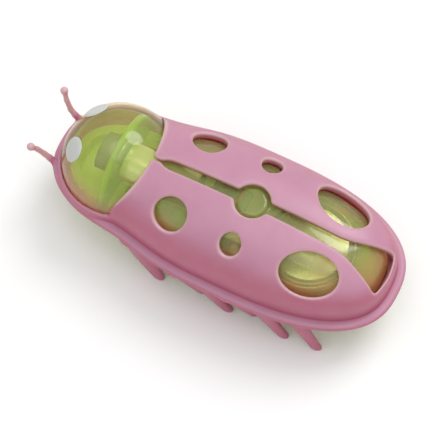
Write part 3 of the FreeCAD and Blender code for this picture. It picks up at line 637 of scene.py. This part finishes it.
def clear_skin(tree, place):
    """How much a clear surface mirrors, from its outer side only, and the mirror itself."""
    shine = tree.nodes.new("ShaderNodeBsdfGlossy")
    tree.links.new(stretch(tree, noise(tree, place, 700), 0.03, 0.1), shine.inputs["Roughness"])
    tree.links.new(bump(tree, noise(tree, place, 260, 2.0), 0.25, 0.0001), shine.inputs["Normal"])
    edge = tree.nodes.new("ShaderNodeFresnel")
    edge.inputs["IOR"].default_value = PLASTIC_IOR
    side = tree.nodes.new("ShaderNodeNewGeometry")
    outer = arithmetic(tree, "SUBTRACT", 1.0, side.outputs["Backfacing"])
    return arithmetic(tree, "MULTIPLY", edge.outputs["Fac"], outer), shine.outputs["BSDF"]


def clear(name, tint, body, milk, rough, painted_pink_light=None, pink_light_span=(0.0086, 0.0129)):
    """Tinted see-through plastic: light passes with a tint, and a glossy skin mirrors at a slant; near its
    foot it can carry a painted pinkish light of the rubber.
    """
    material, tree, out, place = shader(name)
    deeper = tuple(c**1.35 for c in tint)
    tint_color = two_tone(tree, noise(tree, place, 120, 2.0), tint, deeper)
    body_color = two_tone(tree, noise(tree, place, 200), body, tuple(c * 0.85 for c in body))
    # painted light: near the foot the tint and haze turn pinkish orange and milkier, standing for the pink
    # rubber seen through the plastic
    if painted_pink_light:
        share = low_share(tree, place, pink_light_span)
        pink_light_tint = two_tone(tree, noise(tree, place, 150, 2.0), *PINK_LIGHT_TINTS)
        tint_color = blend_colors(tree, share, tint_color, pink_light_tint)
        pink_light_body = two_tone(tree, noise(tree, place, 170, 2.0), painted_pink_light, tuple(c * 0.85 for c in painted_pink_light))
        body_color = blend_colors(tree, share, body_color, pink_light_body)
        milk = map_range(tree, share, (0, 1), (milk, milk + 0.3))
    passing = tree.nodes.new("ShaderNodeBsdfTransparent")
    tree.links.new(tint_color, passing.inputs["Color"])
    haze = tree.nodes.new("ShaderNodeBsdfPrincipled")
    haze.inputs["IOR"].default_value = PLASTIC_IOR
    tree.links.new(body_color, haze.inputs["Base Color"])
    tree.links.new(stretch(tree, noise(tree, place, 500), rough, rough + 0.15), haze.inputs["Roughness"])
    cloud = mix_shaders(tree, 0.4, haze.outputs["BSDF"], translucent(tree, body_color))
    inner = mix_shaders(tree, milk, passing.outputs["BSDF"], cloud)
    mirror, shine = clear_skin(tree, place)
    tree.links.new(mix_shaders(tree, mirror, inner, shine), out.inputs["Surface"])
    return material


# opaque materials: name, two colours, lowest and highest roughness, how fine the grain is
# clear materials: name, tint, colour of the haze, how milky, roughness, and the painted pinkish light near
# the foot, where the pink rubber shows through
# the rubber carries painted light and shade: a paler painted sheen on its top, paler edges round its
# openings that are partly painted light, and a darker painted shade above the rim bead
RUBBER = solid(
    "pink_rubber",
    (0.56, 0.155, 0.245),
    (0.61, 0.18, 0.275),
    (0.38, 0.5),
    2600,
    depth=0.000012,
    strength=0.25,
    coat=0.3,
    soft=0.25,
    top_sheen=((0.61, 0.29, 0.42), (0.66, 0.325, 0.455)),
)
LIME = clear("lime_clear", (0.975, 0.985, 0.82), (0.80, 0.92, 0.34), 0.17, 0.2, painted_pink_light=(0.95, 0.46, 0.28))
LIME_BODY = clear(
    "lime_body",
    (0.975, 0.985, 0.82),
    (0.84, 0.95, 0.34),
    0.26,
    0.2,
    painted_pink_light=(0.95, 0.42, 0.22),
    pink_light_span=(0.0108, 0.0134),
)
# painted light: the rib is the housing's own lime plastic, given a more saturated, milkier copy so that it
# looks brighter
LIME_RIB_PAINTED_LIGHT = clear("lime_rib_painted_light", (0.90, 0.97, 0.60), (0.58, 0.84, 0.08), 0.45, 0.25)
LIME_DEEP = solid("lime_deep", (0.70, 0.84, 0.22), (0.78, 0.88, 0.30), (0.2, 0.35), 1400, soft=0.5)
EYE = solid("eye_paint", (0.48, 0.49, 0.46), (0.55, 0.56, 0.53), (0.35, 0.5), 3000)
STEEL = solid(
    "bright_steel",
    (0.88, 0.87, 0.82),
    (0.78, 0.77, 0.73),
    (0.16, 0.26),
    1800,
    metal=0.85,
    depth=0.000004,
    coat=0.5,
)
CELL_STEEL = solid(
    "cell_steel",
    (0.80, 0.79, 0.74),
    (0.70, 0.69, 0.64),
    (0.22, 0.36),
    1500,
    metal=1.0,
    depth=0.000004,
)
WEIGHT = solid(
    "weight_metal",
    (0.20, 0.22, 0.20),
    (0.30, 0.32, 0.29),
    (0.4, 0.6),
    1700,
    metal=0.6,
    depth=0.00002,
)
BRASS = solid("brass", (0.78, 0.60, 0.28), (0.66, 0.48, 0.20), (0.2, 0.35), 1800, metal=1.0)
COPPER = solid("coil_copper", (0.62, 0.24, 0.10), (0.50, 0.17, 0.07), (0.25, 0.4), 2600, metal=0.9)
MAGNET = solid("magnet", (0.20, 0.20, 0.21), (0.28, 0.28, 0.29), (0.3, 0.45), 1800, metal=0.9)
BLACK = solid("black_plastic", (0.012, 0.012, 0.013), (0.03, 0.03, 0.03), (0.35, 0.5), 2400)
BOARD = solid("board_green", (0.03, 0.17, 0.05), (0.05, 0.24, 0.07), (0.3, 0.45), 1400, coat=0.3)
RED = solid("red_insulation", (0.42, 0.02, 0.015), (0.50, 0.035, 0.02), (0.35, 0.5), 2400)
DARK = solid("black_insulation", (0.012, 0.012, 0.012), (0.025, 0.025, 0.025), (0.35, 0.5), 2400)
NICKEL = solid("nickel_leaf", (0.80, 0.76, 0.66), (0.70, 0.66, 0.56), (0.15, 0.3), 1800, metal=1.0)
FILLING = solid("cell_filling", (0.05, 0.05, 0.05), (0.09, 0.09, 0.09), (0.7, 0.9), 1800)


def paint(obj, material):
    """Gives a whole piece one material."""
    obj.data.materials.clear()
    obj.data.materials.append(material)


def finish_piece(obj, material, body, slot, *nodes):
    """Paints a piece, lets it ride on a body and hides the CAD nodes that it stands for."""
    paint(obj, material)
    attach(obj, body)
    if nodes:
        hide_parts(*nodes)


NODE_LOOKS = {
    "motor_bearing": BRASS,
    "motor_magnet": MAGNET,
    "motor_end_cap": BLACK,
    "motor_brushes": BRASS,
    "rotor_coil": COPPER,
    "rotor_commutator": BRASS,
    "rotor_shaft": STEEL,
    "circuit_board": BOARD,
    "switch_case": STEEL,
    "switch_pins": BRASS,
    "switch_slider": BLACK,
    "contact_positive": NICKEL,
    "contact_negative": NICKEL,
    "cell_gasket": BLACK,
    "cell_filling": FILLING,
    "battery_door": LIME_DEEP,
    "battery_door_screw": STEEL,
    "housing_screws": STEEL,
    "lower_housing": LIME_DEEP,
    "rubber_cover": RUBBER,
    "upper_housing": LIME,
    "eye_left": EYE,
    "eye_right": EYE,
    "motor_can": STEEL,
    "eccentric_weight": WEIGHT,
    "cell_can": CELL_STEEL,
    "cell_cap": CELL_STEEL,
    "red_lead": RED,
    "black_lead": DARK,
}
for node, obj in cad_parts.items():
    paint(obj, RUBBER if node.startswith("leg_") else NODE_LOOKS[node])

# ------------------------------------------------------------------ rubber cover and housings

COVER_STEP = 0.19
cover = net_object("cover_skin", cover_distance, (-10.9, -25.0, 6.6), (10.9, 24.9, 16.3), COVER_STEP)
finish_piece(cover, RUBBER, "shell", "cover_rubber", "rubber_cover")


def store(obj, name, values):
    """Keeps one share per vertex of a mesh under a name."""
    layer = obj.data.attributes.new(name, "FLOAT", "POINT")
    layer.data.foreach_set("value", np.clip(values, 0, 1).astype(np.float32))


def cover_marks(obj):
    """Painted light and shade on the cover: paler edges round the openings, along the front edge and on the
    antennae, partly painted light through the thin rubber and partly wear, and a dark painted shade in the
    fold above the rim bead.
    """
    points = np.empty(len(obj.data.vertices) * 3)
    obj.data.vertices.foreach_get("co", points)
    points = points.reshape(-1, 3) / MM
    y, z = points[:, 1], points[:, 2]
    near_top = np.exp(-np.maximum(np.abs(dome_distance(points)) - 0.25, 0) / 0.15)
    # paler edges round the openings and at the front edge, partly painted light through the thin rubber and
    # partly wear; the antennae get half of it
    hole_lip = np.exp(-((np.abs(openings(points)) / 0.2) ** 2)) * near_top
    ahead = np.where(z > COLLAR_TOP + 0.2, np.abs(y - front_edge(z)), 9.0)
    front_lip = np.exp(-((ahead / 0.22) ** 2)) * near_top
    feeler = np.clip((-21.6 - y) / 0.6, 0, 1) * np.clip((z - 8.0) / 0.8, 0, 1)
    store(obj, "lip_light_and_wear", np.maximum(0.8 * np.maximum(hole_lip, front_lip), 0.5 * feeler))
    inset = rim_inset(points)
    # painted shade: darker where the cover's flank meets the rim bead
    crease_shade_share = np.exp(-(((z - 8.1) / 0.28) ** 2)) * np.exp(-(((inset - 1.15) / 0.3) ** 2))
    store(obj, "crease_shade", 0.85 * crease_shade_share)


cover_marks(cover)

HOUSING_STEP = 0.24
housing = net_object("housing_skin", housing_distance, (-8.8, -22.2, 7.1), (8.8, 22.9, 16.9), HOUSING_STEP)
finish_piece(housing, LIME, "shell", "lime_plastic", "upper_housing")
housing.data.materials.append(LIME_BODY)
HEAD_REAR = -9.0
for face in housing.data.polygons:
    face.material_index = 1 if face.center.y > HEAD_REAR * MM else 0
rib = net_object("motor_rib", rib_distance, (-7.2, -14.2, 7.1), (7.2, -12.2, 16.6), HOUSING_STEP)
finish_piece(rib, LIME_RIB_PAINTED_LIGHT, "shell", "lime_plastic", "upper_housing")

# ------------------------------------------------------------------ legs

# x and y of the root, x, y and z of the tip, and half length of the section at the root
LEGS = {
    1: (8.05, -7.4, 8.4, -4.35, 0.0, 1.75),
    2: (8.95, -1.6, 7.9, 1.45, 0.8, 1.25),
    3: (9.05, 2.2, 8.4, 5.25, 0.0, 1.25),
    4: (9.05, 5.4, 7.7, 8.45, 0.8, 1.2),
    5: (8.8, 9.9, 8.4, 12.95, 0.0, 1.3),
    6: (8.1, 14.2, 8.0, 17.25, 0.0, 1.2),
}
LEG_TOP = 6.75
ROOT_GROW = 1.12
TIP_LONG = 0.76
ROOT_THICK, TIP_THICK = 0.8, 0.5
RING_SIDES = 28
# height share below the root (above it when negative), and how much the section flares there
LEG_RINGS = (
    (-0.11, 1.15),
    (-0.055, 1.32),
    (-0.02, 1.3),
    (0.02, 1.14),
    (0.07, 1.04),
    (0.15, 1.0),
    (0.28, 1.0),
    (0.42, 1.0),
    (0.56, 1.0),
    (0.7, 1.0),
    (0.82, 1.0),
    (0.9, 1.02),
    (0.95, 1.03),
    (0.985, 0.88),
    (1.0, 0.55),
)


def leg_mesh(side, tag, number):
    """One swept, tapering leg that comes down from under the shell."""
    root_x, root_y, tip_x, tip_y, tip_z, root_long = LEGS[number]
    vertices = []
    for share, flare in LEG_RINGS:
        down = max(share, 0.0)
        sweep = down * (0.84 * down + 0.16) if down < 0.5 else 0.29 + (down - 0.5) * 1.42
        z = LEG_TOP + (tip_z - LEG_TOP) * share
        x = root_x + (tip_x - root_x) * down
        y = root_y + (tip_y - root_y) * (0.55 * down + 0.45 * sweep)
        long = flare * (ROOT_GROW * root_long + (TIP_LONG - ROOT_GROW * root_long) * down**1.5)
        thick = flare * (ROOT_THICK + (TIP_THICK - ROOT_THICK) * down**0.9)
        for k in range(RING_SIDES):
            angle = 2 * math.pi * k / RING_SIDES
            vertices.append((side * x + thick * math.cos(angle), y + long * math.sin(angle), z))
    rings = len(LEG_RINGS)
    faces = []
    for ring in range(rings - 1):
        for k in range(RING_SIDES):
            m = (k + 1) % RING_SIDES
            a, b = ring * RING_SIDES, (ring + 1) * RING_SIDES
            faces.append((a + k, b + k, b + m, a + m))
    faces.append(tuple(range(RING_SIDES)))
    faces.append(tuple(reversed(range((rings - 1) * RING_SIDES, rings * RING_SIDES))))
    name = f"leg_{tag}_{number}"
    leg = mesh_object(name + "_rubber", vertices, faces)
    tidy_normals(leg)
    paint(leg, RUBBER)
    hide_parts(name)
    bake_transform(leg)


for side, tag in ((1, "left"), (-1, "right")):
    for number in LEGS:
        leg_mesh(side, tag, number)

# ------------------------------------------------------------------ eyes


EYE_X, EYE_Y, EYE_Z, EYE_RADIUS = 2.8, -18.15, 13.6, 1.62
EYE_LIFT, EYE_BACK, EYE_EASE = 0.14, 0.01, 0.1


def eye_patch(side, tag):
    """A thin painted-looking disc that follows the head dome."""
    look = np.array([side * EYE_X, EYE_Y, EYE_Z]) - HEAD
    look /= np.linalg.norm(look)
    across = np.cross(look, (0, 0, 1))
    across /= np.linalg.norm(across)
    up = np.cross(across, look)
    rings, sides = 9, 56
    vertices = []
    for layer, lift in ((0, EYE_LIFT), (1, EYE_BACK)):
        for ring in range(1, rings + 1):
            share = ring / rings
            drop = EYE_EASE * share**10 if layer == 0 else 0.0
            for k in range(sides):
                angle = 2 * math.pi * k / sides
                offset = (across * math.cos(angle) + up * math.sin(angle)) * EYE_RADIUS * share
                ray = look * HEAD_SIZE.mean() + offset
                scale = 1 / np.linalg.norm(ray / HEAD_SIZE)
                point = ray * scale
                vertices.append(HEAD + point * (1 + (lift - drop) / np.linalg.norm(point)))
    faces = []
    for layer in (0, 1):
        base = layer * rings * sides
        for ring in range(rings - 1):
            for k in range(sides):
                m = (k + 1) % sides
                a = base + ring * sides
                faces.append((a + k, a + sides + k, a + sides + m, a + m))
        faces.append(tuple(base + k for k in range(sides)))
    outer = (rings - 1) * sides
    for k in range(sides):
        m = (k + 1) % sides
        faces.append((outer + k, outer + rings * sides + k, outer + rings * sides + m, outer + m))
    patch = mesh_object(f"eye_patch_{tag}", vertices, faces)
    tidy_normals(patch)
    finish_piece(patch, EYE, "shell", "eye_paint", f"eye_{tag}")


eye_patch(1, "left")
eye_patch(-1, "right")

# ------------------------------------------------------------------ motor, weight, cell

# profiles as (radius, height along the axis); the motor's height runs along y
CAN = [(0.82, -12.65), (2.8, -12.65), (2.8, -3.2), (2.5, -3.2), (2.5, -12.35), (0.82, -12.35)]
CELL_CAN = [
    (0.0, 5.4),
    (5.8, 5.4),
    (5.8, 10.3),
    (5.32, 10.3),
    (5.32, 9.9),
    (5.55, 9.8),
    (5.55, 5.65),
    (0.0, 5.65),
]
CELL_CAP = [(0.0, 9.9), (5.2, 9.9), (5.2, 10.1), (4.9, 10.2), (4.9, 10.8), (0.0, 10.8)]
CELL_Y = 12.0
WEIGHT_RADIUS, WEIGHT_HUB, WEIGHT_EASE = 2.5, 1.1, 0.14
WEIGHT_FRONT, WEIGHT_LONG = -16.1, 2.2

can = turned("motor_can_skin", CAN, (0, 0, MOTOR_Z), axis="y", radius=0.3)
finish_piece(can, STEEL, "shell", "motor_steel", "motor_can")


def eccentric_weight():
    """A half disc with a hub, extruded along the shaft and with eased edges."""
    work = bmesh.new()
    outline = [
        (radius * math.cos(angle), radius * math.sin(angle))
        for radius, start, count in ((WEIGHT_RADIUS, 0, 40), (WEIGHT_HUB, math.pi, 20))
        for angle in np.linspace(start, start + math.pi, count)
    ]
    bottom = [work.verts.new((x * MM, WEIGHT_FRONT * MM, (MOTOR_Z + z) * MM)) for x, z in outline]
    face = work.faces.new(bottom)
    grown = bmesh.ops.extrude_face_region(work, geom=[face])
    moved = [g for g in grown["geom"] if isinstance(g, bmesh.types.BMVert)]
    bmesh.ops.translate(work, verts=moved, vec=(0, WEIGHT_LONG * MM, 0))
    bmesh.ops.recalc_face_normals(work, faces=work.faces)
    edges = [e for e in work.edges if e.calc_face_angle(0) > 0.6]
    bmesh.ops.bevel(work, geom=edges, offset=WEIGHT_EASE * MM, segments=3, affect="EDGES", profile=0.5)
    mesh = bpy.data.meshes.new("weight_block")
    work.to_mesh(mesh)
    work.free()
    weight = bpy.data.objects.new("weight_block", mesh)
    bpy.context.scene.collection.objects.link(weight)
    mesh.polygons.foreach_set("use_smooth", [True] * len(mesh.polygons))
    finish_piece(weight, WEIGHT, "rotor", "weight_metal", "eccentric_weight")
    sharpen(weight)


eccentric_weight()

cell_can = turned("cell_can_skin", CELL_CAN, (0, CELL_Y, 0), radius=0.35, sides=96)
finish_piece(cell_can, CELL_STEEL, "cell", "cell_steel", "cell_can")
cell_cap = turned("cell_cap_skin", CELL_CAP, (0, CELL_Y, 0), radius=0.25, sides=96)
finish_piece(cell_cap, CELL_STEEL, "cell", "cell_steel", "cell_cap")


LEAD_RADIUS = 0.3
RED_PATH = (
    (-2.9, 1.6, 8.3),
    (-2.7, 1.9, 10.2),
    (0.0, 1.7, 11.5),
    (2.0, 0.2, 11.1),
    (1.3, -1.6, 10.4),
    (0.91, -2.45, 10.2),
)
BLACK_PATH = ((-3.0, -0.9, 8.3), (-2.8, -1.0, 9.4), (-1.6, -1.5, 10.1), (-0.91, -2.45, 10.2))


def lead(name, path, material, slot, node):
    """A round insulated lead along a smooth path."""
    curve = bpy.data.curves.new(name, "CURVE")
    curve.dimensions = "3D"
    curve.bevel_depth = LEAD_RADIUS * MM
    curve.bevel_resolution = 5
    curve.resolution_u = 10
    curve.use_fill_caps = True
    line = curve.splines.new("BEZIER")
    line.bezier_points.add(len(path) - 1)
    for spot, point in zip(line.bezier_points, path):
        spot.co = Vector(point) * MM
        spot.handle_left_type = spot.handle_right_type = "AUTO"
    obj = bpy.data.objects.new(name, curve)
    bpy.context.scene.collection.objects.link(obj)
    finish_piece(obj, material, "shell", slot, node)


lead("red_lead_wire", RED_PATH, RED, "red_insulation", "red_lead")
lead("black_lead_wire", BLACK_PATH, DARK, "black_insulation", "black_lead")

# ------------------------------------------------------------------ floor, light and camera


FLOOR_HALF, FLOOR_Z = 1.2, -0.02 * MM
LIGHT_AIM = Vector((0, 0, 0.008))


def floor():
    """A pale floor that can be seen through from below."""
    mesh = bpy.data.meshes.new("floor")
    corners = [(x * FLOOR_HALF, y * FLOOR_HALF, 0) for x, y in ((-1, -1), (1, -1), (1, 1), (-1, 1))]
    mesh.from_pydata(corners, [], [(0, 1, 2, 3)])
    obj = bpy.data.objects.new("floor", mesh)
    bpy.context.scene.collection.objects.link(obj)
    obj.location.z = FLOOR_Z
    material, tree, out, place = shader("floor_white")
    surface = tree.nodes.new("ShaderNodeBsdfPrincipled")
    color = two_tone(tree, noise(tree, place, 40), (0.90, 0.90, 0.90), (0.92, 0.92, 0.92))
    tree.links.new(color, surface.inputs["Base Color"])
    surface.inputs["Roughness"].default_value = 0.8
    through = tree.nodes.new("ShaderNodeBsdfTransparent")
    side = tree.nodes.new("ShaderNodeNewGeometry")
    mix = mix_shaders(tree, side.outputs["Backfacing"], surface.outputs["BSDF"], through.outputs["BSDF"])
    tree.links.new(mix, out.inputs["Surface"])
    paint(obj, material)


def light(name, spot, width, power):
    """A round soft light that looks at the piece."""
    data = bpy.data.lights.new(name, "AREA")
    data.shape = "DISK"
    data.size = width
    data.energy = power
    obj = bpy.data.objects.new(name, data)
    bpy.context.scene.collection.objects.link(obj)
    obj.location = spot
    obj.rotation_euler = (LIGHT_AIM - Vector(spot)).to_track_quat("-Z", "Y").to_euler()


floor()
light("key", (-0.28, 0.10, 0.42), 0.26, 1.0)
light("fill", (0.34, -0.30, 0.30), 0.34, 0.12)
light("top", (0.02, 0.02, 0.55), 0.40, 0.55)

world = bpy.data.worlds.new("studio")
bpy.context.scene.world = world
world.use_nodes = True
sky = world.node_tree.nodes["Background"]
sky.inputs["Color"].default_value = (1.0, 1.0, 1.0, 1)
sky.inputs["Strength"].default_value = 0.72
bpy.context.scene.view_settings.view_transform = "Standard"

AZIMUTH, ELEVATION = math.radians(116.6), math.radians(67.0)
CAMERA_AIM = Vector((0, 2.85, 7.5)) * MM
CAMERA_AWAY = 247.5 * MM
back = Vector(
    (
        math.sin(AZIMUTH) * math.cos(ELEVATION),
        -math.cos(AZIMUTH) * math.cos(ELEVATION),
        math.sin(ELEVATION),
    )
)
camera_data = bpy.data.cameras.new("camera")
camera_data.lens = 162.3
camera_data.sensor_width = 36
camera_data.shift_x = -0.0387
camera_data.shift_y = -0.0043
camera = bpy.data.objects.new("camera", camera_data)
bpy.context.scene.collection.objects.link(camera)
camera.location = CAMERA_AIM + back * CAMERA_AWAY
camera.rotation_euler = (-back).to_track_quat("-Z", "Y").to_euler()
bpy.context.scene.camera = camera
